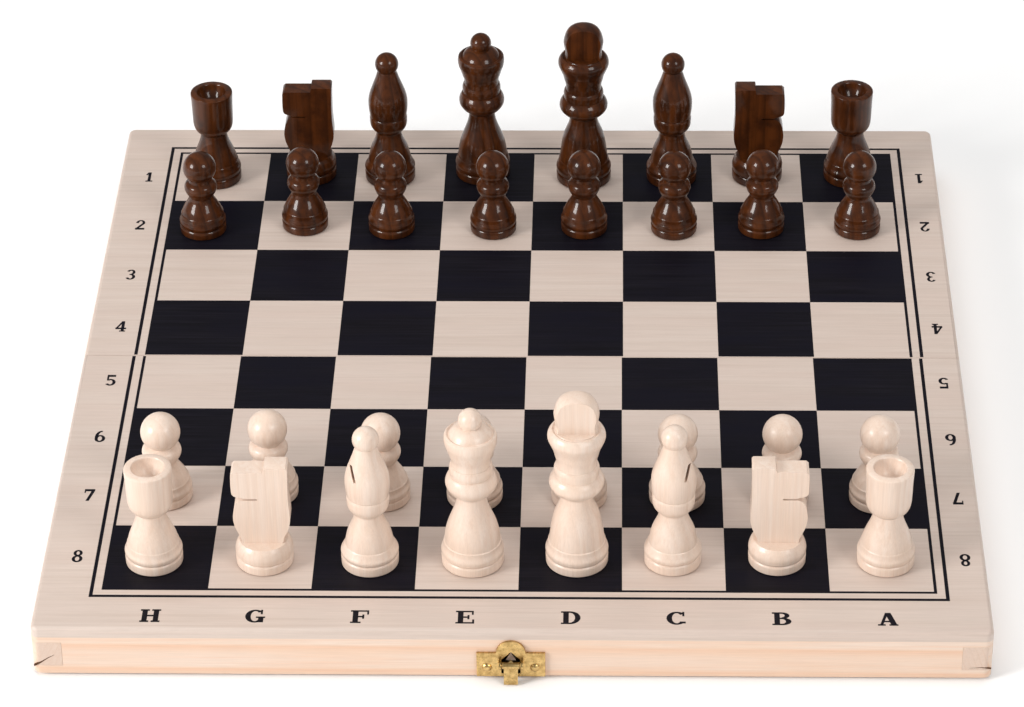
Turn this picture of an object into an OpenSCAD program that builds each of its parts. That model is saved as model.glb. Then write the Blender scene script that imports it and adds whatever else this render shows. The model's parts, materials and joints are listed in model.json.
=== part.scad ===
// Folding wooden chess box lying open as a board, with its thirty-two turned pieces set up.
// X runs right, Y runs away from the latch side, Z up. The origin is the bottom centre,
// level with the underside of the hinge knuckles, which stand just proud of the rims.

/* [Board] */
// Width of the open board, and its depth from front to back
board_w = 340; // [325:5:360]
// Side of one playing square
square = 37; // [35:0.5:38]
// Height of the wooden rails under the top panels
rail_h = 16; // [15.5:0.5:20]
// Thickness of the rails
rail_t = 10.8; // [10:0.2:12]
// Thickness of the top panels
panel_t = 4; // [3:0.5:5]
// Plan radius of the four outer corners
corner_r = 3; // [1:0.5:6]
// Gap between the two halves along the fold
seam_gap = 0.3; // [0.2:0.1:0.6]
// Shift of the playing field to the right of the board's middle
field_shift = 3; // [0:0.5:3]
// Shift of the playing field away from the latch side
field_back = 1.5; // [0:0.5:2]

/* [Corner joints] */
// Height of the side rail's finger above the rim
finger_z = 3.4; // [2:0.2:4]
// Depth of that finger
finger_h = 10.3; // [8:0.1:11]

/* [Hinges] */
// Distance of each hinge from the middle
hinge_x = 105; // [60:5:140]
// Length of a hinge along the fold
hinge_len = 26; // [20:1:34]
// Width of one hinge leaf
leaf_w = 8; // [7:0.5:9]
// Thickness of the hinge leaves
leaf_t = 0.8; // [0.6:0.1:1]
// Outer radius of the hinge knuckles
knuckle_r = 1.2; // [1.1:0.1:1.5]

/* [Latch] */
// Width of the latch plate and of the loop plate
latch_w = 24.3; // [22:0.1:28]
// Height of the latch plate's ears
ear_h = 10.7; // [10:0.1:12]
// Height of the latch pivot above the rim
pivot_z = 6.5; // [6:0.1:7]
// Angle at which the latch lever hangs out from the rail
lever_tilt = 12; // [8:1:16]
// Height of the wire loop's pivot above the rim
loop_z = 3.5; // [3.2:0.1:4]
// Length of the wire loop, from its pivot to its crossbar
loop_len = 12.6; // [12.2:0.1:13]

/* [Pieces] */
// Size of the chess pieces as a share of the full size
piece_scale = 1; // [0.85:0.05:1.05]
// Depth of the hollow in the top of a rook
rook_bowl = 6; // [2:0.5:8]
// Thickness of the knight's sawn head
knight_t = 7.5; // [6:0.5:9]
// Thickness of the king's finial between its two flats
finial_t = 8; // [6:0.5:10]

/* [Hidden] */
$fn = 48;
fold_gap = 0.2;                          // between the rims when the box is shut
axis_z = knuckle_r;                      // height of the fold axis
rim_z = axis_z + fold_gap / 2;           // height of the rims
top_z = rim_z + rail_h + panel_t;        // height of the playing surface
half_d = board_w / 2;                    // depth of one half
turn = 0.05;                             // radial clearance of a shaft that turns
hinge_pin_r = 0.5;
knuckles = 5;                            // knuckles in one hinge
knuckle_len = hinge_len / knuckles;
hinge_xs = [-hinge_x, hinge_x];
screw_xs = [-hinge_len / 3, hinge_len / 3];
screw_y = 5;
screw_r = 0.8;
screw_head_r = 1.5;
screw_len = 8;
latch_t = 1;                             // thickness of the latch plate
loop_plate_t = 0.8;
window_w = 6.6;                          // window in the latch plate behind the lever
lug_t = 1;
lug_r = 1.6;
pivot_out = 2.6;                         // distance of the lever's pivot from the rail
lever_pin_r = 0.5;
barrel_r = 1.3;
lever_len = 7.4;
tab_w = 5;
tab_t = 0.8;
loop_out = 2;                            // distance of the loop's pivot from the rail
wire_r = 0.6;
loop_w = 10.8;                           // between the centres of the loop's two arms
loop_knuckle_r = 1.5;
loop_knuckle_w = 8.4;
nail_x = 8.5;
nail_z = 4.3;
nail_r = 0.55;
nail_len = 9;

files = ["h", "g", "f", "e", "d", "c", "b", "a"];
back_rank = ["rook", "knight", "bishop", "queen", "king", "bishop", "knight", "rook"];
// how far each piece stands off the middle of its square, left to right: [x, y]
light_back_off = [[-3, -2], [0, -1.5], [1, -2], [1, -1], [1.5, -0.5], [-1, -0.5], [-0.5, 0], [1.5, -0.5]];
light_pawn_off = [[-3, 0], [-1, 2], [3.5, 0], [0.5, 0], [2, 0], [1, 0], [2, 0], [0.5, 0]];
dark_pawn_off = [[-5, -3], [-0.5, 0.5], [-2, -2], [2.5, -2], [2.5, -1.5], [2, -2], [0.5, -1], [2.5, -1.5]];
dark_back_off = [[-3, 0], [-0.5, 3], [-4.5, 1], [-3, 4.5], [2, 1], [1.5, 1], [0, 2], [1, 2]];
// one row for each rank in use: [colour, rank, row counted from the front, pieces, offsets]
ranks = [
    ["light", "8", 0, back_rank, light_back_off],
    ["light", "7", 1, [for (f = files) "pawn"], light_pawn_off],
    ["dark", "2", 6, [for (f = files) "pawn"], dark_pawn_off],
    ["dark", "1", 7, back_rank, dark_back_off]
];
function piece_name(rank, i) = str(rank[0], "_", rank[3][i], "_", files[i], rank[1]);

ply_colour = [0.87, 0.80, 0.74];
pine_colour = [0.93, 0.80, 0.64];
brass_colour = [0.80, 0.65, 0.35];
light_colour = [0.96, 0.90, 0.80];
dark_colour = [0.30, 0.14, 0.08];

// ---- the two wooden halves, both drawn as the rear half and mirrored for the front ----

module as_half(half) {
    if (half == "front") mirror([0, 1, 0]) children();
    else children();
}

// plan of one half, square along the fold and rounded at its two outer corners
module half_outline() {
    inner_w = board_w - 2 * corner_r;
    translate([-half_d, seam_gap / 2]) square([board_w, half_d - corner_r - seam_gap / 2]);
    translate([-inner_w / 2, seam_gap / 2]) square([inner_w, half_d - seam_gap / 2]);
    for (s = [-1, 1]) translate([s * inner_w / 2, half_d - corner_r]) circle(corner_r);
}

module top_panel() {
    translate([0, 0, rim_z + rail_h]) linear_extrude(panel_t) half_outline();
}

// one layer of the rail frame, from its height above the rim
module rail_layer(z, h) {
    translate([0, 0, rim_z + z]) linear_extrude(h) half_outline();
}

module finger_layer() {
    rail_layer(finger_z, finger_h);
}

// the strip of the half that a cross rail fills: the one at the edge, or the one at the fold
module cross_strip(y) {
    translate([-half_d, y, 0]) cube([board_w, rail_t, top_z]);
}

module side_strip(side) {
    translate([side > 0 ? half_d - rail_t : -half_d, 0, 0]) cube([rail_t, half_d, top_z]);
}

// a cross rail runs the full width, apart from the sockets for the side rails' fingers
module cross_rail(y) {
    difference() {
        intersection() {
            rail_layer(0, rail_h);
            cross_strip(y);
        }
        for (side = [-1, 1]) intersection() {
            finger_layer();
            side_strip(side);
        }
    }
}

module outer_rail() {
    difference() {
        cross_rail(half_d - rail_t);
        nail_holes();
    }
}

module middle_rail() {
    difference() {
        cross_rail(seam_gap / 2);
        for (x = hinge_xs) translate([x, 0, 0]) {
            translate([-hinge_len / 2, 0, 0]) cube([hinge_len, leaf_w, rim_z + leaf_t]);
            along_x(hinge_len + 1, knuckle_r + 0.3, axis_z);
        }
        hinge_screws();
    }
}

// a side rail fills the space between the cross rails, and its fingers reach the corners
module side_rail(side) {
    intersection() {
        side_strip(side);
        union() {
            finger_layer();
            difference() {
                rail_layer(0, rail_h);
                cross_strip(half_d - rail_t);
                cross_strip(seam_gap / 2);
            }
        }
    }
}

// ---- hinges ----

// a round bar along X, centred on x = 0, y = 0
module along_x(len, r, z = 0) {
    translate([-len / 2, 0, z]) rotate([0, 90, 0]) cylinder(r = r, h = len);
}

// every second knuckle of a hinge belongs to the same leaf
module knuckle_row(first, r, spare) {
    for (k = [first:2:knuckles - 1])
        translate([(k - (knuckles - 1) / 2) * knuckle_len, 0, 0]) along_x(knuckle_len + spare, r, axis_z);
}

module hinge_leaf(own, other, bore_r) {
    difference() {
        union() {
            translate([-hinge_len / 2, 0, rim_z]) cube([hinge_len, leaf_w - 0.2, leaf_t]);
            knuckle_row(own, knuckle_r, -0.1);
        }
        knuckle_row(other, knuckle_r + 0.2, 0.1);
        along_x(hinge_len + 1, bore_r, axis_z);
        leaf_screws();
    }
}

module hinge_pin() {
    along_x(hinge_len, hinge_pin_r, axis_z);
}

// two countersunk screws that hold one leaf, heads down
module leaf_screws() {
    for (x = screw_xs) translate([x, screw_y, rim_z]) {
        cylinder(r1 = screw_head_r, r2 = screw_r, h = leaf_t);
        cylinder(r = screw_r, h = screw_len);
    }
}

module hinge_screws() {
    for (x = hinge_xs) translate([x, 0, 0]) leaf_screws();
}

// ---- latch on the front rail and wire loop on the rear rail, drawn on the rear face ----

// stands a drawing in X and height upright against the rail, its thickness pointing out
module on_face(t) {
    translate([0, half_d, rim_z]) rotate([90, 0, 180]) linear_extrude(t) children();
}

// runs its children at both nail places, starting at a distance from the rail, pointing inwards
module at_nails(out) {
    for (s = [-1, 1]) translate([s * nail_x, half_d + out, rim_z + nail_z]) rotate([90, 0, 0]) children();
}

module nail_holes() {
    at_nails(latch_t) cylinder(r = nail_r, h = nail_len);
}

// two domed nails through a plate of the given thickness
module nails(plate_t) {
    dome_r = 2.1;
    at_nails(plate_t) {
        cylinder(r = nail_r, h = nail_len + plate_t - latch_t);
        intersection() {
            translate([0, 0, dome_r / 2]) sphere(dome_r);
            translate([0, 0, -dome_r]) cylinder(r = dome_r, h = dome_r);
        }
    }
}

module plate_outline(h) {
    translate([-latch_w / 2, 0.3]) square([latch_w, h - 0.3]);
}

// arched plate with a gabled window behind the lever and two lugs that hold its pin
module latch_plate() {
    lug_x = window_w / 2 + 0.1;
    difference() {
        union() {
            on_face(latch_t) difference() {
                union() {
                    plate_outline(ear_h);
                    translate([0, ear_h]) circle(5.2);
                }
                polygon([[-window_w / 2, 1.8], [window_w / 2, 1.8], [window_w / 2, 7.6],
                         [0, 11.2], [-window_w / 2, 7.6]]);
            }
            for (s = [-1, 1]) translate([s * (lug_x + lug_t / 2), half_d, rim_z + pivot_z]) {
                translate([0, pivot_out, 0]) along_x(lug_t, lug_r);
                translate([-lug_t / 2, 0, -lug_r]) cube([lug_t, pivot_out, 2 * lug_r]);
            }
        }
        translate([0, half_d + pivot_out, 0]) along_x(latch_w, lever_pin_r, rim_z + pivot_z);
        nail_holes();
    }
}

module latch_lever_pin() {
    translate([0, half_d + pivot_out, 0])
        along_x(window_w + 0.2 + 2 * lug_t, lever_pin_r, rim_z + pivot_z);
}

// gabled head above the pivot, finger tab below it
module latch_lever() {
    translate([0, half_d + pivot_out, rim_z + pivot_z]) rotate([lever_tilt, 0, 0]) difference() {
        union() {
            along_x(window_w - 0.4, barrel_r);
            translate([0, tab_t / 2, 0]) rotate([90, 0, 0]) linear_extrude(tab_t)
                polygon([[-3, -0.9], [3, -0.9], [0, 2.25]]);
            translate([-tab_w / 2, -tab_t / 2, -lever_len]) cube([tab_w, tab_t, lever_len]);
        }
        along_x(latch_w, lever_pin_r + turn);
    }
}

module loop_plate() {
    difference() {
        union() {
            on_face(loop_plate_t) plate_outline(9.3);
            translate([0, half_d + loop_out, 0]) along_x(loop_knuckle_w, loop_knuckle_r, rim_z + loop_z);
        }
        translate([0, half_d + loop_out, 0]) along_x(latch_w, wire_r + turn, rim_z + loop_z);
        nail_holes();
    }
}

// closed wire ring: its lower bar turns in the loop plate, its crossbar catches the lever
module wire_loop() {
    translate([0, half_d + loop_out, rim_z + loop_z]) {
        for (z = [0, loop_len]) along_x(loop_w, wire_r, z);
        for (s = [-1, 1]) translate([s * loop_w / 2, 0, 0]) {
            cylinder(r = wire_r, h = loop_len);
            for (z = [0, loop_len]) translate([0, 0, z]) sphere(wire_r);
        }
    }
}

// ---- chess pieces, each drawn standing on z = 0 ----

// smooth curve through a list of points, with the given number of steps between two of them
function smooth(p, steps = 3) = let (n = len(p) - 1) concat(
    [for (i = [0:n - 1], k = [0:steps - 1])
        let (t = k / steps, a = p[max(i - 1, 0)], b = p[i], c = p[i + 1], d = p[min(i + 2, n)])
        0.5 * (2 * b + (c - a) * t + (2 * a - 5 * b + 4 * c - d) * t * t
            + (3 * b - a - 3 * c + d) * t * t * t)],
    [p[n]]);

// round end of a turned piece: an arc from angle a up to the axis
function ball_end(r, z, a, steps = 8) =
    [for (k = [0:steps]) let (t = a + (90 - a) * k / steps) [k == steps ? 0 : r * cos(t), z + r * sin(t)]];

// turned foot with one groove: flat underside, straight side up to the groove, rounded shoulder
function foot(r, groove_z, shoulder_z, neck_r) = concat(
    [[0, 0], [r - 0.8, 0], [r - 0.1, 0.8], [r, groove_z - 0.7], [r - 0.5, groove_z],
     [r - 0.1, groove_z + 0.7]],
    smooth([[r - 0.05, groove_z + 0.8], [r, (groove_z + shoulder_z) / 2 - 0.5],
            [r * 0.94, shoulder_z - 1.6], [neck_r, shoulder_z]]));

king_profile = concat(
    foot(11.3, 4, 9.6, 10.3),
    smooth([[10, 9.9], [9.5, 14], [8.9, 18], [8.1, 21.5], [7, 24.3], [6, 27], [5.6, 29.6]]),
    smooth([[5.9, 30.4], [8, 32], [9.5, 33.8], [9.9, 35.4], [9.5, 37], [8.6, 38.4]]),
    smooth([[8, 38.8], [8.1, 40], [8.1, 41.6], [7.6, 42.8]]),
    smooth([[7.3, 43], [7.3, 45], [7.6, 46.8]]),
    smooth([[7.8, 47.2], [8.5, 50], [9.5, 52.4], [10.3, 54.6], [10.2, 56.4], [9.4, 57.8]]),
    [[8.7, 58.2], [8, 57.9]],
    smooth([[7.8, 58.2], [7.5, 60.4], [7.8, 62.6], [8.1, 64.8], [7.9, 66.4]]),
    smooth([[7.8, 66.6], [7.3, 68.4], [6.2, 70.2], [4.4, 71.4], [2.2, 71.9], [0, 72]]));

queen_profile = concat(
    foot(11.3, 4, 9.6, 10.4),
    smooth([[10.1, 9.9], [9.7, 13.5], [8.7, 17.5], [7.4, 21], [6.3, 24], [5.5, 27], [5.3, 29.4]]),
    smooth([[5.6, 30.2], [7.7, 32], [9, 34], [9.3, 35.8], [8.9, 37.4], [8.1, 38.9]]),
    smooth([[7.5, 39.2], [7.8, 40.4], [7.8, 42], [7.4, 43.2]]),
    smooth([[7.1, 43.4], [7.1, 45.4], [7.5, 47]]),
    smooth([[7.7, 47.4], [8.5, 50], [9.3, 52.4], [9.5, 54.6], [9.2, 56]]),
    [[8.6, 56.4], [7.9, 56]],
    smooth([[7.7, 56.2], [6.8, 57.6], [5.4, 58.9], [3.8, 59.7]]),
    ball_end(4.3, 61.9, -28));

bishop_profile = concat(
    foot(10.4, 4.3, 9, 9),
    smooth([[8.8, 9.2], [8.3, 12], [7.5, 15], [6.4, 17.6], [5.5, 20], [5.1, 22.2]]),
    smooth([[5.4, 22.9], [6.9, 24.6], [7.6, 26.6], [7.7, 29.4]]),
    [[7.3, 30.1]],
    smooth([[7.6, 30.7], [8, 34], [8, 37.6], [7.4, 40.6], [6.3, 43.8], [5.1, 47], [4.2, 49.8], [3.8, 50.9]]),
    ball_end(4.8, 54.1, -38));

rook_profile = concat(
    foot(10.4, 4, 9, 9.4),
    smooth([[9.2, 9.2], [8.6, 11.6], [7.6, 14.4], [6.4, 17.4], [5.6, 20], [5.3, 22.2]]),
    smooth([[5.8, 22.9], [7.3, 24.4], [8.1, 26.8], [8.3, 31], [8.4, 36], [8.6, 40.6], [8.3, 41.3]]),
    [[8, 41.5], [6.1, 41.5]],
    smooth([[5.9, 41.3], [4.9, 41.4 - rook_bowl / 2], [2.8, 41.6 - rook_bowl], [0, 41.5 - rook_bowl]]));

// g widens the body below the ball
function pawn_profile(ball_r, g) = concat(
    foot(9.4 * g, 3.6, 8.6, 8.6 * g),
    smooth([[8.4 * g, 8.8], [7.5 * g, 11], [6.4 * g, 13], [5.3 * g, 15], [4.9 * g, 16.4]]),
    smooth([[5.2 * g, 17.1], [6.2 * g, 18.9], [6.6 * g, 20.7], [6.1 * g, 22.4], [4.8 * g, 23.6]]),
    ball_end(ball_r, 36.3 - ball_r, -46));

knight_foot_profile = concat(foot(10.4, 4, 10.4, 8.8), [[0, 10.4]]);

// side view of the knight's head, muzzle towards +X, starting at the back of the neck
knight_outline = concat(
    [[-7, 9.8], [-7.4, 11.6]],
    smooth([[-7.8, 13.2], [-9.2, 16.2], [-10, 19.5], [-10, 23], [-9.7, 28], [-9.7, 35], [-9.9, 42.6]]),
    [[-9.3, 43.2], [-1.6, 43.2], [-1.2, 41.4], [9.4, 41.4]],
    smooth([[10.3, 40.6], [10.6, 36], [10.4, 32.6], [9.4, 31], [6.6, 30.2]]),
    smooth([[6.6, 29.2], [8.6, 28.2], [9.8, 25.2], [10.3, 21.4], [9.8, 17.6], [8.6, 14.4], [7.6, 12]]),
    [[7.2, 9.8]]);

module turned(profile) {
    rotate_extrude() polygon(profile);
}

module flats(t, z) {
    for (s = [0, 180]) rotate([0, 0, s]) translate([-15, t / 2, z]) cube([30, 15, 30]);
}

module king() {
    difference() {
        turned(king_profile);
        flats(finial_t, 58.3);
    }
}

module queen() {
    turned(queen_profile);
}

// the slanted saw cut leans to the side that the piece is told
module bishop(cut_side) {
    cut_w = 1;
    difference() {
        turned(bishop_profile);
        if (cut_side != 0) translate([cut_side * 4.6, 0, 42]) rotate([0, cut_side * 16, 0])
            translate([-cut_w / 2, -10, -2.6]) cube([cut_w, 10, 5.4]);
    }
}

module rook() {
    turned(rook_profile);
}

module knight(facing) {
    turned(knight_foot_profile);
    rotate([0, 0, facing > 0 ? 0 : 180]) difference() {
        intersection() {
            translate([0, knight_t / 2, 0]) rotate([90, 0, 0]) linear_extrude(knight_t)
                polygon(knight_outline);
            cylinder(r = 11, h = 60);
        }
        // saw cut that parts the jaw from the throat
        translate([1.4, -knight_t, 29.2]) cube([6, 2 * knight_t, 0.7]);
    }
}

// the light pawns were turned a tenth wider than the dark ones
module pawn(colour) {
    turned(colour == "light" ? pawn_profile(7.3, 1.1) : pawn_profile(6.7, 1));
}

module shape_of(kind, colour, i) {
    facing = i < 4 ? -1 : 1;
    if (kind == "king") king();
    if (kind == "queen") queen();
    if (kind == "bishop") bishop(colour == "light" ? facing : 0);
    if (kind == "rook") rook();
    if (kind == "knight") knight(facing);
    if (kind == "pawn") pawn(colour);
}

// piece number i, from the left, of one rank, standing on its square
module chess_piece(rank, i) {
    x = field_shift + (i - 3.5) * square + rank[4][i][0];
    y = field_back + (rank[2] - 3.5) * square + rank[4][i][1];
    color(rank[0] == "light" ? light_colour : dark_colour)
        translate([x, y, top_z]) scale(piece_scale) shape_of(rank[3][i], rank[0], i);
}

// ---- nodes ----

for (half = ["rear", "front"]) {
    color(ply_colour) as_half(half) top_panel();
    color(pine_colour) as_half(half) outer_rail();
    color(pine_colour) as_half(half) middle_rail();
    color(pine_colour) as_half(half) side_rail(-1);
    color(pine_colour) as_half(half) side_rail(1);
    color(brass_colour) as_half(half) hinge_screws();
}
for (side = [-1, 1]) {
    name = side < 0 ? "left_hinge_" : "right_hinge_";
    color(brass_colour) translate([side * hinge_x, 0, 0]) hinge_leaf(0, 1, hinge_pin_r);
    color(brass_colour) translate([side * hinge_x, 0, 0]) as_half("front")
            hinge_leaf(1, 0, hinge_pin_r + turn);
    color(brass_colour) translate([side * hinge_x, 0, 0]) hinge_pin();
}
color(brass_colour) as_half("front") latch_plate();
color(brass_colour) as_half("front") latch_lever();
color(brass_colour) as_half("front") latch_lever_pin();
color(brass_colour) as_half("front") nails(latch_t);  // latch_nails
color(brass_colour) loop_plate();
color(brass_colour) wire_loop();
color(brass_colour) nails(loop_plate_t);  // loop_nails
for (rank = ranks, i = [0:7])
    chess_piece(rank, i);
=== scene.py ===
import json
import math
import random

import bmesh
import bpy
from mathutils import Matrix, Vector

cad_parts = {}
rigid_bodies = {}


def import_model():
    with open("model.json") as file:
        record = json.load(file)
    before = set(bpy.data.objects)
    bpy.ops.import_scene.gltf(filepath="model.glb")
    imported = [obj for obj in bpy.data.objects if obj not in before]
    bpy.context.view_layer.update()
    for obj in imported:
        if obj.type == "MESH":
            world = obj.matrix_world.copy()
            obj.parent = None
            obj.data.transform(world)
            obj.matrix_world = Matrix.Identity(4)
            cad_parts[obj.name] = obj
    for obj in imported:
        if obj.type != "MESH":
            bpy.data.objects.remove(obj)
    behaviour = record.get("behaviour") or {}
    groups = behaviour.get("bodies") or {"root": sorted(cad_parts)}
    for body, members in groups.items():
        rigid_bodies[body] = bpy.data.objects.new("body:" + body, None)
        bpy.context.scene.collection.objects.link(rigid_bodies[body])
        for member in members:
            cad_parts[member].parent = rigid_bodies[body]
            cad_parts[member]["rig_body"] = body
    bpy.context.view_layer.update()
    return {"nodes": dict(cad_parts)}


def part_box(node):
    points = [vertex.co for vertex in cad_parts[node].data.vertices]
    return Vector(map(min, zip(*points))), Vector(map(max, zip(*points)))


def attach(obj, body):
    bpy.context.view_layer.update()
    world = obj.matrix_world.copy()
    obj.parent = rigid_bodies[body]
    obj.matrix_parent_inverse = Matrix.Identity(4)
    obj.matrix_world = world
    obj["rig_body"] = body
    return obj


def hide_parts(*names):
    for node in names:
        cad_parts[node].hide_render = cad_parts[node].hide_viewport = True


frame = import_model()

# Chess set on its folding board. X runs right along the fold, Y away from the latch, Z up.
MM = 0.001

panel_low, panel_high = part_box("rear_top_panel")
HALF_W = panel_high.x
HALF_D = panel_high.y
SEAM = panel_low.y
TOP = panel_high.z
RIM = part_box("rear_outer_rail")[0].z

SQUARE = 37 * MM
FIELD_X = 2.5 * MM          # the printed field stands this far right of the board's middle
FIELD_Y = 1.5 * MM          # and this far behind it
FIELD_HALF = 4 * SQUARE
JOG = 0.25 * MM             # the rear print stands this far right of that, the front print as far left
FILES = "hgfedcba"
BACK_RANK = ["rook", "knight", "bishop", "queen", "king", "bishop", "knight", "rook"]


# ---------------------------------------------------------------- camera, lights, floor

def look_at(obj, target, roll=0.0):
    """Turns a camera or lamp so that its -Z points at the target, then rolls it about that line."""
    turn = (Vector(target) - obj.location).to_track_quat("-Z", "Y").to_matrix()
    obj.rotation_euler = (turn @ Matrix.Rotation(math.radians(roll), 3, "Z")).to_euler()


CAMERA_PLACE = (0.0347, -1.2283, 0.8695)
CAMERA_TARGET = (-0.0034, 0.0021, TOP)
CAMERA_ROLL = -0.82
CAMERA_LENS = 135.2


def add_camera():
    data = bpy.data.cameras.new("camera")
    data.sensor_width = 36
    data.lens = CAMERA_LENS
    camera = bpy.data.objects.new("camera", data)
    camera.location = CAMERA_PLACE
    look_at(camera, CAMERA_TARGET, roll=CAMERA_ROLL)
    bpy.context.scene.collection.objects.link(camera)
    bpy.context.scene.camera = camera


def add_softbox(name, direction, distance, size, power, colour=(1, 1, 1), mirrored=True):
    data = bpy.data.lights.new(name, "AREA")
    data.shape = "RECTANGLE"
    data.size = size[0]
    data.size_y = size[1]
    data.energy = power
    data.color = colour
    lamp = bpy.data.objects.new(name, data)
    lamp.location = Vector(direction).normalized() * distance
    lamp.visible_glossy = mirrored
    look_at(lamp, (0, 0, TOP))
    bpy.context.scene.collection.objects.link(lamp)


def add_studio():
    add_softbox("softbox_left", (-0.80, -0.44, 0.41), 2.0, (0.68, 0.68), 32, (1.0, 0.98, 0.96))
    add_softbox("softbox_right", (0.54, -0.62, 0.57), 2.0, (0.68, 0.68), 12, (1.0, 0.98, 0.96))
    add_softbox("overhead", (0.0, 0.25, 1.0), 1.9, (2.2, 2.2), 24, mirrored=False)
    world = bpy.data.worlds.new("studio")
    world.use_nodes = True
    background = world.node_tree.nodes["Background"]
    background.inputs["Color"].default_value = (1, 1, 1, 1)
    background.inputs["Strength"].default_value = 0.26
    bpy.context.scene.world = world
    bpy.context.scene.view_settings.view_transform = "Standard"


def add_floor():
    reach = 4.0
    bm = bmesh.new()
    bmesh.ops.create_grid(bm, x_segments=2, y_segments=2, size=reach)
    mesh = bpy.data.meshes.new("floor")
    bm.to_mesh(mesh)
    bm.free()
    floor = bpy.data.objects.new("floor", mesh)
    bpy.context.scene.collection.objects.link(floor)
    material = bpy.data.materials.new("white_paper")
    material.use_nodes = True
    shader = material.node_tree.nodes["Principled BSDF"]
    shader.inputs["Base Color"].default_value = (0.98, 0.98, 0.98, 1)
    shader.inputs["Roughness"].default_value = 0.85
    mesh.materials.append(material)


# ---------------------------------------------------------------- materials

class Nodes:
    """Short names for building one material's node tree."""

    def __init__(self, name):
        self.material = bpy.data.materials.new(name)
        self.material.use_nodes = True
        self.tree = self.material.node_tree
        self.shader = self.tree.nodes["Principled BSDF"]

    def add(self, kind, **settings):
        node = self.tree.nodes.new(kind)
        for key, value in settings.items():
            setattr(node, key, value)
        return node

    def link(self, output, target):
        self.tree.links.new(output, target)

    def grain(self):
        """The piece's own wood coordinates in millimetres: x along the grain."""
        return self.add("ShaderNodeAttribute", attribute_name="grain").outputs["Vector"]

    def stretched(self, vector, scale):
        node = self.add("ShaderNodeMapping")
        node.inputs["Scale"].default_value = scale
        self.link(vector, node.inputs["Vector"])
        return node.outputs["Vector"]

    def noise(self, vector, scale=1.0, detail=4.0, roughness=0.55, distortion=0.0):
        node = self.add("ShaderNodeTexNoise")
        node.inputs["Scale"].default_value = scale
        node.inputs["Detail"].default_value = detail
        node.inputs["Roughness"].default_value = roughness
        node.inputs["Distortion"].default_value = distortion
        self.link(vector, node.inputs["Vector"])
        return node.outputs["Fac"]

    def ramp(self, value, stops):
        node = self.add("ShaderNodeValToRGB")
        elements = node.color_ramp.elements
        while len(elements) < len(stops):
            elements.new(0.5)
        for element, (place, colour) in zip(elements, stops):
            element.position = place
            element.color = (*colour, 1) if isinstance(colour, tuple) else (colour, colour, colour, 1)
        self.link(value, node.inputs["Fac"])
        return node.outputs["Color"]

    def mix(self, factor, a, b, blend="MIX"):
        node = self.add("ShaderNodeMix", data_type="RGBA", blend_type=blend)
        for value, socket in ((factor, node.inputs["Factor"]), (a, node.inputs["A"]), (b, node.inputs["B"])):
            if isinstance(value, bpy.types.NodeSocket):
                self.link(value, socket)
            elif isinstance(value, tuple):
                socket.default_value = (*value, 1)
            else:
                socket.default_value = value
        return node.outputs["Result"]

    def math(self, operation, a, b=None):
        node = self.add("ShaderNodeMath", operation=operation)
        for value, socket in ((a, node.inputs[0]), (b, node.inputs[1])):
            if isinstance(value, bpy.types.NodeSocket):
                self.link(value, socket)
            elif value is not None:
                socket.default_value = value
        return node.outputs["Value"]

    def bump(self, height, distance, strength=1.0, under=None):
        node = self.add("ShaderNodeBump")
        node.inputs["Strength"].default_value = strength
        node.inputs["Distance"].default_value = distance
        self.link(height, node.inputs["Height"])
        if under is not None:
            self.link(under, node.inputs["Normal"])
        return node.outputs["Normal"]

    def set(self, **values):
        for key, value in values.items():
            socket = self.shader.inputs[key.replace("_", " ").title().replace("Ior", "IOR")]
            if isinstance(value, bpy.types.NodeSocket):
                self.link(value, socket)
            else:
                socket.default_value = value


def rings(n, vector, scale, warp):
    """Growth rings about the grain axis, bent a little by slow noise."""
    node = n.add("ShaderNodeTexWave", wave_type="RINGS", rings_direction="X", wave_profile="SAW")
    node.inputs["Scale"].default_value = scale
    node.inputs["Distortion"].default_value = warp
    node.inputs["Detail"].default_value = 2.0
    node.inputs["Detail Scale"].default_value = 0.35
    n.link(n.stretched(vector, (0.02, 1, 1)), node.inputs["Vector"])
    return node.outputs["Fac"]


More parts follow.
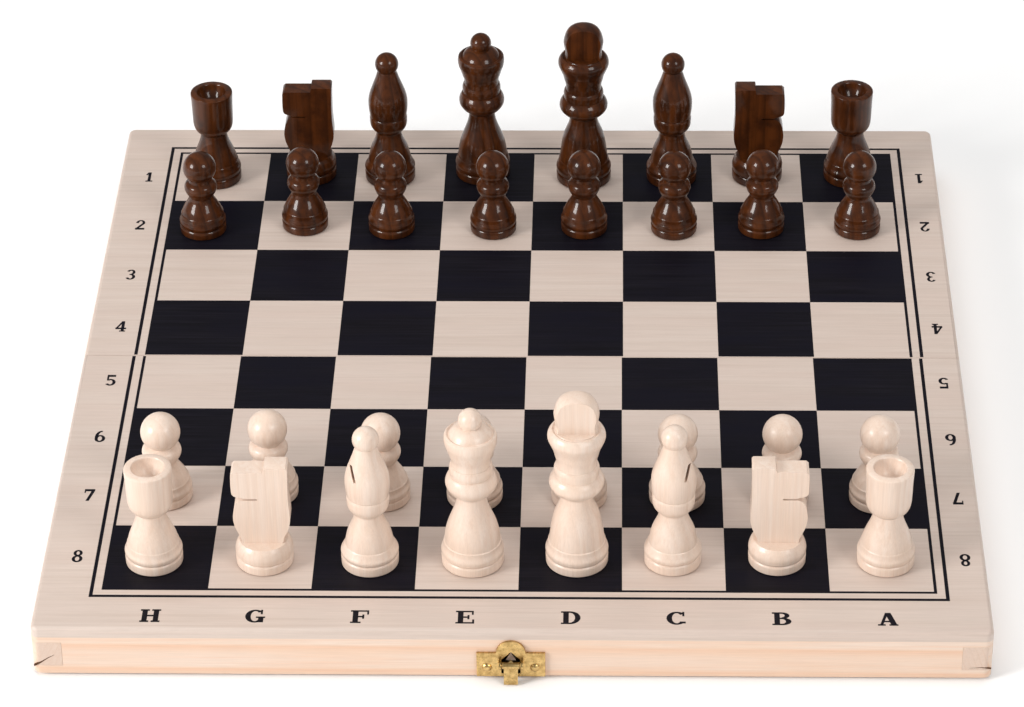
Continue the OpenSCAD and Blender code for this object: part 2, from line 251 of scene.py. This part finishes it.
def wood(name, early, late, patch, growth, gloss, pores, blotch=(0.014, 0.10, 0.10)):
    """Lacquered wood: growth rings, slow colour patches, fine fibres and pores, lightly uneven gloss.

    growth is the rings' scale, warp and strength; gloss is roughness, coat, its roughness and specular.
    """
    ring_scale, warp, ring_mix = growth
    roughness, coat, coat_roughness, specular = gloss
    n = Nodes(name)
    vector = n.grain()
    ring = n.ramp(rings(n, vector, ring_scale, warp), [(0.0, 0.0), (0.55, 0.3), (0.86, 1.0), (1.0, 0.0)])
    slow = n.noise(n.stretched(vector, blotch), detail=3)
    streak = n.noise(n.stretched(vector, (0.012, 0.55, 0.55)), detail=4, roughness=0.6)
    fibre = n.noise(n.stretched(vector, (0.06, 2.4, 2.4)), detail=5, roughness=0.65)
    ring_part = n.math("MULTIPLY", ring, ring_mix)
    streak_part = n.math("MULTIPLY", n.ramp(streak, [(0.42, 0.0), (0.72, 1.0)]), 0.6)
    base = n.mix(n.math("MAXIMUM", ring_part, streak_part), early, late)
    base = n.mix(n.ramp(slow, [(0.42, 0.0), (0.70, 0.75)]), base, patch)
    base = n.mix(0.3, base, n.mix(1.0, base, n.ramp(fibre, [(0.3, 0.70), (0.7, 1.05)]), "MULTIPLY"))
    pore = n.noise(n.stretched(vector, (0.16, 4.5, 4.5)), detail=2)
    pore_mask = n.ramp(pore, [(0.66, 0.0), (0.74, 1.0)])
    base = n.mix(n.math("MULTIPLY", pore_mask, pores), base, tuple(0.4 * c for c in late))
    n.set(base_color=base, coat_weight=coat, coat_roughness=coat_roughness, specular_ior_level=specular)
    uneven = n.math("MULTIPLY_ADD", fibre, 0.16)
    uneven.node.inputs[2].default_value = roughness - 0.08
    n.set(roughness=uneven)
    n.set(normal=n.bump(n.math("SUBTRACT", fibre, pore_mask), 0.02 * MM, 0.5))
    return n.material


def printed_ink(name):
    """Near-black screen print that lets the wood's fibres show as a faint sheen."""
    n = Nodes(name)
    vector = n.grain()
    fibre = n.noise(n.stretched(vector, (0.03, 1.4, 1.4)), detail=5, roughness=0.6)
    slow = n.noise(n.stretched(vector, (0.02, 0.08, 0.08)), detail=2)
    tone = n.mix(n.ramp(fibre, [(0.42, 0.0), (0.72, 1.0)]), (0.0042, 0.0036, 0.0058), (0.011, 0.0095, 0.015))
    tone = n.mix(n.ramp(slow, [(0.4, 0.0), (0.7, 1.0)]), tone, (0.005, 0.0045, 0.0095))
    n.set(base_color=tone, roughness=0.5, specular_ior_level=0.12)
    n.set(normal=n.bump(fibre, 0.02 * MM, 0.5))
    return n.material


def pressed_brass(name):
    """Yellow brass with slow tarnish, rolling lines and small pits."""
    n = Nodes(name)
    vector = n.grain()
    tarnish = n.noise(n.stretched(vector, (0.5, 0.5, 0.5)), detail=4, roughness=0.65)
    spots = n.noise(n.stretched(vector, (1.7, 1.7, 1.7)), detail=3)
    fine = n.noise(n.stretched(vector, (2.6, 2.6, 9.0)), detail=3)
    colour = n.mix(n.ramp(tarnish, [(0.38, 0.0), (0.68, 1.0)]), (0.74, 0.52, 0.22), (0.42, 0.27, 0.10))
    colour = n.mix(n.ramp(spots, [(0.56, 0.0), (0.72, 0.7)]), colour, (0.17, 0.10, 0.035))
    n.set(base_color=colour, metallic=1.0)
    uneven = n.math("MULTIPLY_ADD", tarnish, 0.25)
    uneven.node.inputs[2].default_value = 0.20
    n.set(roughness=uneven)
    n.set(normal=n.bump(n.math("ADD", fine, spots), 0.03 * MM, 0.5))
    return n.material


MATERIALS = {
    "board_ply": wood(
        "board_ply", early=(0.640, 0.535, 0.470), late=(0.530, 0.415, 0.345), patch=(0.610, 0.490, 0.425),
        growth=(0.03, 5.0, 0.28), gloss=(0.45, 0.2, 0.3, 0.4), pores=0.12),
    "rail_pine": wood(
        "rail_pine", early=(0.775, 0.630, 0.530), late=(0.755, 0.455, 0.285), patch=(0.775, 0.550, 0.405),
        growth=(0.05, 4.0, 0.75), gloss=(0.42, 0.25, 0.25, 0.4), pores=0.12),
    "rail_end": wood(
        "rail_end", early=(0.700, 0.550, 0.460), late=(0.620, 0.430, 0.310), patch=(0.660, 0.510, 0.420),
        growth=(0.16, 3.0, 0.6), gloss=(0.55, 0.1, 0.3, 0.4), pores=0.3),
    "light_piece": wood(
        "light_piece", early=(0.810, 0.665, 0.565), late=(0.710, 0.500, 0.370), patch=(0.780, 0.600, 0.480),
        growth=(0.06, 3.0, 0.35), gloss=(0.40, 0.35, 0.2, 0.4), pores=0.08, blotch=(0.05, 0.12, 0.12)),
    "dark_piece": wood(
        "dark_piece", early=(0.090, 0.024, 0.005), late=(0.010, 0.003, 0.001), patch=(0.018, 0.005, 0.002),
        growth=(0.07, 4.0, 0.6), gloss=(0.36, 0.45, 0.07, 0.1), pores=0.3, blotch=(0.13, 0.16, 0.16)),
    # dark brown wood for the splits in the rail face: its dark tone is painted shade, standing in for the
    # shade inside the gaps
    "crack": wood(
        "crack", early=(0.110, 0.050, 0.022), late=(0.050, 0.020, 0.010), patch=(0.080, 0.035, 0.016),
        growth=(0.2, 3.0, 0.5), gloss=(0.8, 0.0, 0.3, 0.2), pores=0.3),
    "brass": pressed_brass("brass"),
    "ink": printed_ink("ink"),
}


# ---------------------------------------------------------------- making pieces

def set_grain(mesh, origin, along, seed):
    """Stores wood coordinates on the points: x along the grain, in millimetres from the origin."""
    along = Vector(along)
    across = [Vector(v) for v in ((1, 0, 0), (0, 1, 0), (0, 0, 1)) if along.dot(Vector(v)) == 0]
    grain_axes = (along, *across)
    draw = random.Random(seed)
    shift = Vector((draw.uniform(-900, 900), draw.uniform(25, 70), draw.uniform(25, 70)))
    layer = mesh.attributes.new("grain", "FLOAT_VECTOR", "POINT")
    values = []
    for vertex in mesh.vertices:
        local = (vertex.co - origin) / MM
        values.extend(local.dot(row) + offset for row, offset in zip(grain_axes, shift))
    layer.data.foreach_set("vector", values)


def shade(mesh, angle):
    mesh.polygons.foreach_set("use_smooth", [True] * len(mesh.polygons))
    mesh.set_sharp_from_angle(angle=math.radians(angle))


def keep_flat(mesh, area):
    """Large flat faces keep their own shading beside rounded edges."""
    for face in mesh.polygons:
        if face.area > area:
            face.use_smooth = False


def add_piece(name, mesh, body, slot, nodes=(), material=None, origin=(0, 0, 0), along=(1, 0, 0), angle=34):
    """Turns a finished mesh into a piece of the object, riding on a body. No angle keeps its shading."""
    mesh.name = name
    if angle is not None:
        shade(mesh, angle)
    set_grain(mesh, Vector(origin), along, name)
    mesh.materials.clear()
    mesh.materials.append(MATERIALS[material or slot])
    piece = bpy.data.objects.new(name, mesh)
    bpy.context.scene.collection.objects.link(piece)
    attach(piece, body)
    if nodes:
        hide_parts(*nodes)
    return piece


def to_mesh(bm, name="piece"):
    bmesh.ops.recalc_face_normals(bm, faces=bm.faces)
    mesh = bpy.data.meshes.new(name)
    bm.to_mesh(mesh)
    bm.free()
    return mesh


def combined(mesh, tools, operation, self_overlap=False):
    """The mesh after an exact union, difference or intersection with each tool mesh in turn."""
    scene = bpy.context.scene.collection
    subject = bpy.data.objects.new("subject", mesh)
    scene.objects.link(subject)
    helpers = []
    for tool in tools:
        helper = bpy.data.objects.new("helper", tool)
        scene.objects.link(helper)
        helpers.append(helper)
        cut = subject.modifiers.new("cut", "BOOLEAN")
        cut.operation = operation
        cut.solver = "EXACT"
        cut.use_self = self_overlap
        cut.object = helper
    bpy.context.view_layer.update()
    graph = bpy.context.evaluated_depsgraph_get()
    result = bpy.data.meshes.new_from_object(subject.evaluated_get(graph), depsgraph=graph)
    for obj in [subject, *helpers]:
        bpy.data.objects.remove(obj)
    return result


def box_bm(low, high):
    bm = bmesh.new()
    low, high = Vector(low), Vector(high)
    place = Matrix.Translation((low + high) / 2) @ Matrix.Diagonal((*(high - low), 1))
    bmesh.ops.create_cube(bm, size=1, matrix=place)
    return bm


def prism_bm(outline, low, high, to_point):
    """Closed prism over an outline: to_point(u, v, w) places a corner, w runs from low to high."""
    bm = bmesh.new()
    rings_of_points = [[bm.verts.new(to_point(u, v, w)) for u, v in outline] for w in (low, high)]
    count = len(outline)
    bm.faces.new(rings_of_points[0])
    bm.faces.new(reversed(rings_of_points[1]))
    near, far = rings_of_points
    for i in range(count):
        j = (i + 1) % count
        bm.faces.new((near[j], near[i], far[i], far[j]))
    return bm


def round_edges(bm, width, segments, chosen=None, angle=25):
    """Rounds the sharp edges of a mesh, or those that chosen(edge) picks."""
    edges = [e for e in bm.edges if len(e.link_faces) == 2 and e.calc_face_angle(0) > math.radians(angle)]
    if chosen is not None:
        edges = [e for e in edges if chosen(e)]
    rounded = bmesh.ops.bevel(bm, geom=edges, offset=width, segments=segments, profile=0.5, affect="EDGES",
                              clamp_overlap=True, loop_slide=True)
    for face in rounded["faces"]:
        face.smooth = True


def cad_bm(node):
    """A clean editable copy of a CAD node's shape, with its triangles joined into flat faces."""
    bm = bmesh.new()
    bm.from_mesh(frame["nodes"][node].data)
    bmesh.ops.remove_doubles(bm, verts=bm.verts, dist=0.002 * MM)
    bmesh.ops.dissolve_limit(bm, angle_limit=math.radians(1), verts=bm.verts, edges=bm.edges)
    for face in bm.faces:
        face.smooth = False
    return bm


# ---------------------------------------------------------------- the two wooden halves

def at_edge(point, inset):
    """Whether a point lies on the board's outside, apart from the seam."""
    return abs(point.x) > HALF_W - inset or abs(point.y) > HALF_D - inset


def add_top_panel(half):
    node = half + "_top_panel"
    bm = cad_bm(node)
    corner = 3.2 * MM
    flat = 0.01 * MM

    def on_outline(edge, height):
        level = all(abs(v.co.z - height) < flat for v in edge.verts)
        return level and all(at_edge(v.co, corner) for v in edge.verts) and not on_seam(edge)

    def on_seam(edge):
        return all(abs(v.co.y) < SEAM + flat for v in edge.verts)

    round_edges(bm, 1.5 * MM, 5, lambda e: on_outline(e, TOP))
    round_edges(bm, 0.4 * MM, 2, lambda e: on_seam(e) and all(abs(v.co.z - TOP) < flat for v in e.verts))
    round_edges(bm, 0.15 * MM, 2, angle=50)
    add_piece(node, to_mesh(bm), half + "_half", "board_ply", [node], along=(1, 0, 0), angle=None)


def add_rail(half, rail, along):
    node = f"{half}_{rail}_rail"
    bm = cad_bm(node)
    round_edges(bm, 0.2 * MM, 2, angle=50)
    piece = add_piece(node, to_mesh(bm), half + "_half", "rail_pine", [node], along=along, angle=None)
    piece.data.materials.append(MATERIALS["rail_end"])
    for face in piece.data.polygons:
        if abs(face.normal.dot(Vector(along))) > 0.9:
            face.material_index = 1


# ---------------------------------------------------------------- print

INK_H = 0.04 * MM
LINE_IN = 1.1 * MM          # thin line that hugs the field
LINE_OUT = 1.3 * MM         # thicker line outside it
LINE_GAP = 4.0 * MM
NUMBER_OUT = 160.2 * MM     # from the middle of the field to the figures at its sides
LETTER_OUT = 163.8 * MM     # and to the letters in front
LETTER_STEP = 37.25 * MM
GLYPH_H = 7.2 * MM
LETTER_W = 7.2 * MM
FIGURE_W = 5 * MM


def slab(outline):
    return prism_bm(outline, TOP, TOP + INK_H, lambda u, v, w: (u, v, w))


def bar(x0, y0, x1, y1):
    return [(x0, y0), (x1, y0), (x1, y1), (x0, y1)]


def stroke(x0, y0, x1, y1, width):
    """A straight stroke with level ends."""
    half = width / 2
    return [(x0 - half, y0), (x0 + half, y0), (x1 + half, y1), (x1 - half, y1)]


def arc(cx, cy, outer, inner, start, end, steps=18):
    """Part of an oval band; outer and inner are (x radius, y radius), angles in degrees."""
    angles = [math.radians(start + (end - start) * k / steps) for k in range(steps + 1)]
    rim = [(cx + outer[0] * math.cos(a), cy + outer[1] * math.sin(a)) for a in angles]
    hole = [(cx + inner[0] * math.cos(a), cy + inner[1] * math.sin(a)) for a in reversed(angles)]
    return rim + hole


def oval(cx, cy, outer, inner):
    return [arc(cx, cy, outer, inner, 0, 180), arc(cx, cy, outer, inner, 180, 360)]


# Slab letters and figures on a 10 x 10 grid.
GLYPHS = {
    "A": [stroke(1.9, 0.8, 4.7, 10, 1.5), stroke(8.0, 0.8, 5.2, 10, 2.9), bar(2.9, 2.7, 7.2, 3.8),
          bar(0, 0, 3.8, 1.1), bar(5.6, 0, 10, 1.1)],
    "B": [bar(1.3, 0, 4.0, 10), bar(0.2, 0, 5, 1.1), bar(0.2, 8.9, 5, 10), bar(3.9, 4.7, 5.2, 5.8),
          arc(4.9, 7.5, (3.9, 2.5), (1.5, 1.4), -90, 90), arc(5.0, 2.9, (4.6, 2.9), (1.9, 1.8), -90, 90)],
    "C": [arc(5.2, 5, (5.0, 5.1), (2.3, 4.0), 42, 322), bar(8.0, 6.6, 9.0, 10), bar(7.4, 1.0, 9.6, 2.4)],
    "D": [bar(1.3, 0, 4.0, 10), bar(0.2, 0, 4.6, 1.1), bar(0.2, 8.9, 4.6, 10),
          arc(4.5, 5, (5.3, 5.0), (2.6, 3.9), -90, 90)],
    "E": [bar(1.3, 0, 4.0, 10), bar(0.2, 0, 9.2, 1.1), bar(0.2, 8.9, 9.0, 10), bar(3.9, 4.5, 6.9, 5.6),
          bar(6.0, 3.4, 7.0, 6.7), bar(8.1, 6.9, 9.0, 10), bar(8.4, 0, 9.4, 3.2)],
    "F": [bar(1.3, 0, 4.0, 10), bar(0.2, 0, 5.4, 1.1), bar(0.2, 8.9, 9.2, 10), bar(3.9, 4.5, 6.9, 5.6),
          bar(6.0, 3.4, 7.0, 6.7), bar(8.3, 6.7, 9.2, 10)],
    "G": [arc(5.0, 5, (4.9, 5.1), (2.2, 4.0), 44, 316), bar(7.6, 6.6, 8.6, 10), bar(6.6, 0.2, 9.2, 4.4),
          bar(5.4, 3.6, 10, 4.7)],
    "H": [bar(0.9, 0, 3.5, 10), bar(6.5, 0, 9.1, 10), bar(0, 0, 4.4, 1.2), bar(0, 8.8, 4.4, 10),
          bar(5.6, 0, 10, 1.2), bar(5.6, 8.8, 10, 10), bar(3.4, 4.4, 6.6, 5.6)],
    "1": [bar(3.9, 0, 6.3, 10), bar(2.2, 0, 8.0, 1.1), stroke(2.6, 7.2, 4.6, 10, 1.6)],
    "2": [arc(5.0, 7.0, (3.7, 3.0), (1.5, 2.0), -20, 180), stroke(2.3, 0.9, 7.2, 6.2, 2.4),
          bar(1.2, 0, 8.8, 1.8)],
    "3": [arc(4.8, 7.4, (3.5, 2.6), (1.3, 1.6), -80, 160), arc(4.8, 2.8, (3.9, 2.8), (1.5, 1.8), -160, 85),
          bar(3.8, 4.7, 5.4, 5.7)],
    "4": [bar(5.2, 0, 7.6, 10), bar(0.8, 2.3, 9.2, 3.8), stroke(1.8, 3.4, 6.2, 10, 1.7),
          bar(4.0, 0, 8.8, 1.0)],
    "5": [bar(1.9, 8.2, 8.4, 10), bar(1.9, 4.8, 3.3, 9.0), arc(4.8, 3.1, (4.1, 3.1), (1.7, 2.0), -150, 130)],
    "6": [*oval(5.0, 3.1, (4.0, 3.1), (1.6, 2.0)), arc(5.6, 4.6, (4.6, 5.4), (2.2, 4.3), 80, 190)],
    "7": [bar(1.2, 8.2, 8.9, 10), stroke(4.2, 0, 7.6, 8.6, 2.4), bar(1.2, 6.8, 2.2, 9.0)],
    "8": [*oval(5.0, 7.5, (3.3, 2.5), (1.2, 1.4)), *oval(5.0, 2.8, (3.9, 2.8), (1.6, 1.7))],
}


def glyph_outlines(sign, x, y, turned=False):
    """A sign's strokes centred on a place on the board, upside down if turned."""
    facing = -1 if turned else 1
    scale_x = facing * (LETTER_W if sign.isalpha() else FIGURE_W) / 10
    scale_y = facing * GLYPH_H / 10
    return [[(x + (u - 5) * scale_x, y + (v - 5) * scale_y) for u, v in shape] for shape in GLYPHS[sign]]


def row_edges(row):
    """Front and back of one row of squares, which meet the fold and not each other at the seam."""
    bare = SEAM + 0.35 * MM
    front = FIELD_Y + (row - 4) * SQUARE
    back = front + SQUARE
    if row == 3:
        back = -bare
    if row == 4:
        front = bare
    return front, back


def joined(bms, name):
    whole = bmesh.new()
    for bm in bms:
        part = bpy.data.meshes.new("part")
        bm.to_mesh(part)
        bm.free()
        whole.from_mesh(part)
        bpy.data.meshes.remove(part)
    return to_mesh(whole, name)


def add_print(half):
    """Squares and border lines as one printed layer, letters and figures as another."""
    rows = range(4, 8) if half == "rear" else range(4)
    side = 1 if half == "rear" else -1
    middle = FIELD_X + side * JOG
    shapes = []
    for row in rows:
        front, back = row_edges(row)
        for column in range(8):
            if (row + column) % 2 == 0:
                left = middle + (column - 4) * SQUARE
                shapes.append(bar(left, front, left + SQUARE, back))
    seam = side * (SEAM + 0.35 * MM)
    outer = FIELD_HALF + LINE_GAP
    for line_start, width in ((FIELD_HALF, LINE_IN), (outer, LINE_OUT)):
        line_end = line_start + width
        far = FIELD_Y + side * line_end
        near = FIELD_Y + side * line_start
        shapes.append(bar(middle - line_end, min(far, near), middle + line_end, max(far, near)))
        for x0, x1 in ((-line_end, -line_start), (line_start, line_end)):
            shapes.append(bar(middle + x0, min(seam, near), middle + x1, max(seam, near)))
    add_piece(f"print_{half}", joined([slab(s) for s in shapes], "print"), half + "_half", "board_ply",
              material="ink")

    outlines = []
    for row in rows:
        y = FIELD_Y + (row - 3.5) * SQUARE
        sign = str(8 - row)
        outlines += glyph_outlines(sign, FIELD_X - NUMBER_OUT, y)
        outlines += glyph_outlines(sign, FIELD_X + NUMBER_OUT, y, turned=True)
    if half == "front":
        letter_y = FIELD_Y - LETTER_OUT
        for column, letter in enumerate(FILES.upper()):
            outlines += glyph_outlines(letter, FIELD_X + (column - 3.5) * LETTER_STEP, letter_y)
    first = to_mesh(slab(outlines[0]))
    rest = joined([slab(o) for o in outlines[1:]], "strokes")
    signs = combined(first, [rest], "UNION", self_overlap=True)
    add_piece(f"signs_{half}", signs, half + "_half", "board_ply", material="ink")


# ---------------------------------------------------------------- turned pieces

def smooth(points, steps=6):
    """Points along a smooth curve through the given (radius, height) points."""
    last = len(points) - 1
    curve = []
    for i in range(last):
        a, b, c, d = points[max(i - 1, 0)], points[i], points[i + 1], points[min(i + 2, last)]
        for k in range(steps):
            t = k / steps
            curve.append(tuple(
                0.5 * (2 * q + (r - p) * t + (2 * p - 5 * q + 4 * r - s) * t * t
                       + (3 * q - p - 3 * r + s) * t ** 3)
                for p, q, r, s in zip(a, b, c, d)))
    return curve + [tuple(points[-1])]


def ball_end(r, z, start, steps=14):
    """An arc from the start angle up to the axis."""
    angles = [math.radians(start + (90 - start) * k / steps) for k in range(steps)]
    return [(r * math.cos(a), z + r * math.sin(a)) for a in angles] + [(0, z + r)]


def foot(r, groove_z, shoulder_z, neck_r):
    """Flat underside, straight side up to one groove, rounded shoulder."""
    return [(0, 0), (r - 0.9, 0), (r - 0.4, 0.15), (r - 0.1, 0.5), (r, groove_z - 0.8),
            (r - 0.12, groove_z - 0.4), (r - 0.5, groove_z), (r - 0.2, groove_z + 0.5)] + smooth([
                (r - 0.05, groove_z + 0.8), (r, (groove_z + shoulder_z) / 2 - 0.5),
                (r * 0.94, shoulder_z - 1.6), (neck_r, shoulder_z)])


KING = foot(11.3, 4, 9.6, 10.3) \
    + smooth([(10, 9.9), (9.5, 14), (8.9, 18), (8.1, 21.5), (7, 24.3), (6, 27), (5.6, 29.6)]) \
    + smooth([(5.9, 30.4), (8, 32), (9.5, 33.8), (9.9, 35.4), (9.5, 37), (8.6, 38.4)]) \
    + smooth([(8, 38.8), (8.1, 40), (8.1, 41.6), (7.6, 42.8)]) \
    + smooth([(7.3, 43), (7.3, 45), (7.6, 46.8)]) \
    + smooth([(7.8, 47.2), (8.5, 50), (9.5, 52.4), (10.3, 54.6), (10.2, 56.4), (9.4, 57.8)]) \
    + [(8.7, 58.2), (8, 57.9)] \
    + smooth([(7.8, 58.2), (7.5, 60.4), (7.8, 62.6), (8.1, 64.8), (7.9, 66.4)]) \
    + smooth([(7.8, 66.6), (7.3, 68.4), (6.2, 70.2), (4.4, 71.4), (2.2, 71.9), (0, 72)])
QUEEN = foot(11.3, 4, 9.6, 10.4) \
    + smooth([(10.1, 9.9), (9.7, 13.5), (8.7, 17.5), (7.4, 21), (6.3, 24), (5.5, 27), (5.3, 29.4)]) \
    + smooth([(5.6, 30.2), (7.7, 32), (9, 34), (9.3, 35.8), (8.9, 37.4), (8.1, 38.9)]) \
    + smooth([(7.5, 39.2), (7.8, 40.4), (7.8, 42), (7.4, 43.2)]) \
    + smooth([(7.1, 43.4), (7.1, 45.4), (7.5, 47)]) \
    + smooth([(7.7, 47.4), (8.5, 50), (9.3, 52.4), (9.5, 54.6), (9.2, 56)]) \
    + [(8.6, 56.4), (7.9, 56)] \
    + smooth([(7.7, 56.2), (6.8, 57.6), (5.4, 58.9), (3.8, 59.7)]) \
    + ball_end(4.3, 61.9, -28)
BISHOP = foot(10.4, 4.3, 9, 9) \
    + smooth([(8.8, 9.2), (8.3, 12), (7.5, 15), (6.4, 17.6), (5.5, 20), (5.1, 22.2)]) \
    + smooth([(5.4, 22.9), (6.9, 24.6), (7.6, 26.6), (7.7, 29.4)]) \
    + [(7.3, 30.1)] \
    + smooth([(7.6, 30.7), (8, 34), (8, 37.6), (7.4, 40.6), (6.3, 43.8), (5.1, 47), (4.2, 49.8),
              (3.8, 50.9)]) \
    + ball_end(4.8, 54.1, -38)
ROOK_BOWL = 6
ROOK = foot(10.4, 4, 9, 9.4) \
    + smooth([(9.2, 9.2), (8.6, 11.6), (7.6, 14.4), (6.4, 17.4), (5.6, 20), (5.3, 22.2)]) \
    + smooth([(5.8, 22.9), (7.3, 24.4), (8.1, 26.8), (8.3, 31), (8.4, 36), (8.6, 40.6), (8.3, 41.3)]) \
    + [(8, 41.5), (6.1, 41.5)] \
    + smooth([(5.9, 41.3), (4.9, 41.4 - ROOK_BOWL / 2), (2.8, 41.6 - ROOK_BOWL), (0, 41.5 - ROOK_BOWL)])
KNIGHT_FOOT = foot(10.4, 4, 10.4, 8.8) + [(0, 10.4)]
KNIGHT_HEAD = [(-7, 9.8), (-7.4, 11.6)] \
    + smooth([(-7.8, 13.2), (-9.2, 16.2), (-10, 19.5), (-10, 23), (-9.7, 28), (-9.7, 35), (-9.9, 42.6)], 4) \
    + [(-9.3, 43.2), (-1.6, 43.2), (-1.2, 41.4), (9.4, 41.4)] \
    + smooth([(10.3, 40.6), (10.6, 36), (10.4, 32.6), (9.4, 31), (6.6, 30.2)], 4) \
    + smooth([(6.6, 29.2), (8.6, 28.2), (9.8, 25.2), (10.3, 21.4), (9.8, 17.6), (8.6, 14.4), (7.6, 12)], 4) \
    + [(7.2, 9.8)]
KNIGHT_T = 7.5


def pawn_profile(ball_r, g):
    """g widens the body below the ball."""
    return foot(9.4 * g, 3.6, 8.6, 8.6 * g) \
        + smooth([(8.4 * g, 8.8), (7.5 * g, 11), (6.4 * g, 13), (5.3 * g, 15), (4.9 * g, 16.4)]) \
        + smooth([(5.2 * g, 17.1), (6.2 * g, 18.9), (6.6 * g, 20.7), (6.1 * g, 22.4), (4.8 * g, 23.6)]) \
        + ball_end(ball_r, 36.3 - ball_r, -46)


TURNED = {
    "rook": ROOK, "queen": QUEEN, "light_pawn": pawn_profile(7.3, 1.1), "dark_pawn": pawn_profile(6.7, 1),
}


def lathe(profile, segments=72):
    """Closed turned mesh in millimetres about the z axis."""
    bm = bmesh.new()
    rings_of_points = []
    for r, z in profile:
        count = segments if r > 1e-4 else 1
        rings_of_points.append([
            bm.verts.new((r * math.cos(2 * math.pi * k / count), r * math.sin(2 * math.pi * k / count), z))
            for k in range(count)])
    for low, high in zip(rings_of_points, rings_of_points[1:]):
        for k in range(segments):
            j = (k + 1) % segments
            corners = [low[k % len(low)], low[j % len(low)], high[j % len(high)], high[k % len(high)]]
            bm.faces.new(list(dict.fromkeys(corners)))
    return bm


def cylinder_bm(r, low, high, segments=72):
    return lathe([(0, low), (r, low), (r, high), (0, high)], segments)


def king_mesh():
    flats = []
    for side in (-1, 1):
        y0, y1 = sorted((side * 4, side * 16))
        flats.append(to_mesh(box_bm((-16, y0, 58.35), (16, y1, 80))))
    return combined(to_mesh(lathe(KING)), flats, "DIFFERENCE")


def bishop_mesh(cut_side):
    body = to_mesh(lathe(BISHOP))
    if cut_side == 0:
        return body
    kerf = box_bm((-0.5, -10, -2.6), (0.5, 0, 2.8))
    lean = Matrix.Translation((cut_side * 4.6, 0, 42)) @ Matrix.Rotation(math.radians(16 * cut_side), 4, "Y")
    bmesh.ops.transform(kerf, matrix=lean, verts=kerf.verts)
    return combined(body, [to_mesh(kerf)], "DIFFERENCE")


def knight_mesh(facing):
    half = KNIGHT_T / 2
    head = prism_bm(KNIGHT_HEAD, -half, half, lambda u, v, w: (u * facing, w, v))
    bmesh.ops.recalc_face_normals(head, faces=head.faces)
    round_edges(head, 0.45, 3, lambda e: e.verts[0].co.z > 12 and e.verts[1].co.z > 12, angle=40)
    head_mesh = combined(to_mesh(head), [to_mesh(cylinder_bm(11, 5, 50))], "INTERSECT")
    jaw_x = sorted((facing * 1.4, facing * 7.4))
    jaw = box_bm((jaw_x[0], -9, 29.2), (jaw_x[1], 9, 29.9))
    head_mesh = combined(head_mesh, [to_mesh(jaw)], "DIFFERENCE")
    return combined(to_mesh(lathe(KNIGHT_FOOT)), [head_mesh], "UNION")


def add_chess_piece(colour, kind, column, rank):
    node = f"{colour}_{kind}_{FILES[column]}{rank}"
    facing = -1 if column < 4 else 1
    if kind == "king":
        mesh = king_mesh()
    elif kind == "bishop":
        mesh = bishop_mesh(facing if colour == "light" else 0)
    elif kind == "knight":
        mesh = knight_mesh(facing)
    else:
        mesh = to_mesh(lathe(TURNED.get(kind) or TURNED[colour + "_" + kind]))
    low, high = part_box(node)
    place = Vector(((low.x + high.x) / 2, (low.y + high.y) / 2, low.z))
    if kind == "knight":
        place.x -= facing * 0.1 * MM
    mesh.transform(Matrix.Translation(place) @ Matrix.Scale(MM, 4))
    piece = add_piece(node, mesh, node, colour + "_piece", [node], origin=place, along=(0, 0, 1), angle=34)
    keep_flat(piece.data, 60 * MM * MM)


# ---------------------------------------------------------------- brass

def add_brass():
    """Pressed brass fittings with small rounded edges and smooth domes, barrels and wire."""
    for node, cad in sorted(frame["nodes"].items()):
        if not any(word in node for word in ("hinge", "latch", "loop")):
            continue
        bm = cad_bm(node)
        round_edges(bm, 0.12 * MM, 2, angle=40)
        for face in bm.faces:
            if face.calc_area() < 1.2 * MM * MM:
                face.smooth = True
        low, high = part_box(node)
        add_piece(node + "_brass", to_mesh(bm), cad["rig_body"], "brass", [node], origin=low, angle=None)


# ---------------------------------------------------------------- cracks in the corner fingers, as dark sheets of painted shade

def add_painted_crack_shade(name, side, line, width):
    """A thin split in the front rail's face, along (distance from the end, height above the rim) points. It
    is drawn as a dark sheet whose colour is painted shade for the gap.
    """
    edge_mm = HALF_W / MM
    points = [Vector((side * (edge_mm - inset) * MM, RIM + z * MM)) for inset, z in line]
    last = len(points) - 1
    upper = [p + Vector((0, width * (1.1 - i / last) / 2)) for i, p in enumerate(points)]
    lower = [p - Vector((0, width * (1.1 - i / last) / 2)) for i, p in enumerate(points)]
    outline = [tuple(p) for p in upper + lower[::-1]]
    # a dark sheet just proud of the face: the split is real, its darkness is painted shade
    bm = prism_bm(outline, -HALF_D - 0.02 * MM, -HALF_D + 0.3 * MM, lambda u, v, w: (u, w, v))
    add_piece(name, to_mesh(bm), "front_half", "rail_pine", material="crack", angle=None)


add_camera()
add_studio()
add_floor()
for half_name in ("rear", "front"):
    add_top_panel(half_name)
    add_rail(half_name, "outer", (1, 0, 0))
    add_rail(half_name, "middle", (1, 0, 0))
    add_rail(half_name, "left", (0, 1, 0))
    add_rail(half_name, "right", (0, 1, 0))
    add_print(half_name)
for column_index in range(8):
    add_chess_piece("light", BACK_RANK[column_index], column_index, 8)
    add_chess_piece("light", "pawn", column_index, 7)
    add_chess_piece("dark", "pawn", column_index, 2)
    add_chess_piece("dark", BACK_RANK[column_index], column_index, 1)
add_brass()
# the two splits are dark sheets of painted shade on the front rail's face
add_painted_crack_shade("crack_left", -1, [(0.4, 3.4), (3.2, 5.0), (5.6, 6.8), (8.0, 8.2)], 0.9 * MM)
add_painted_crack_shade("crack_right", 1, [(0.4, 4.2), (4.0, 4.6), (8.2, 4.3)], 0.5 * MM)
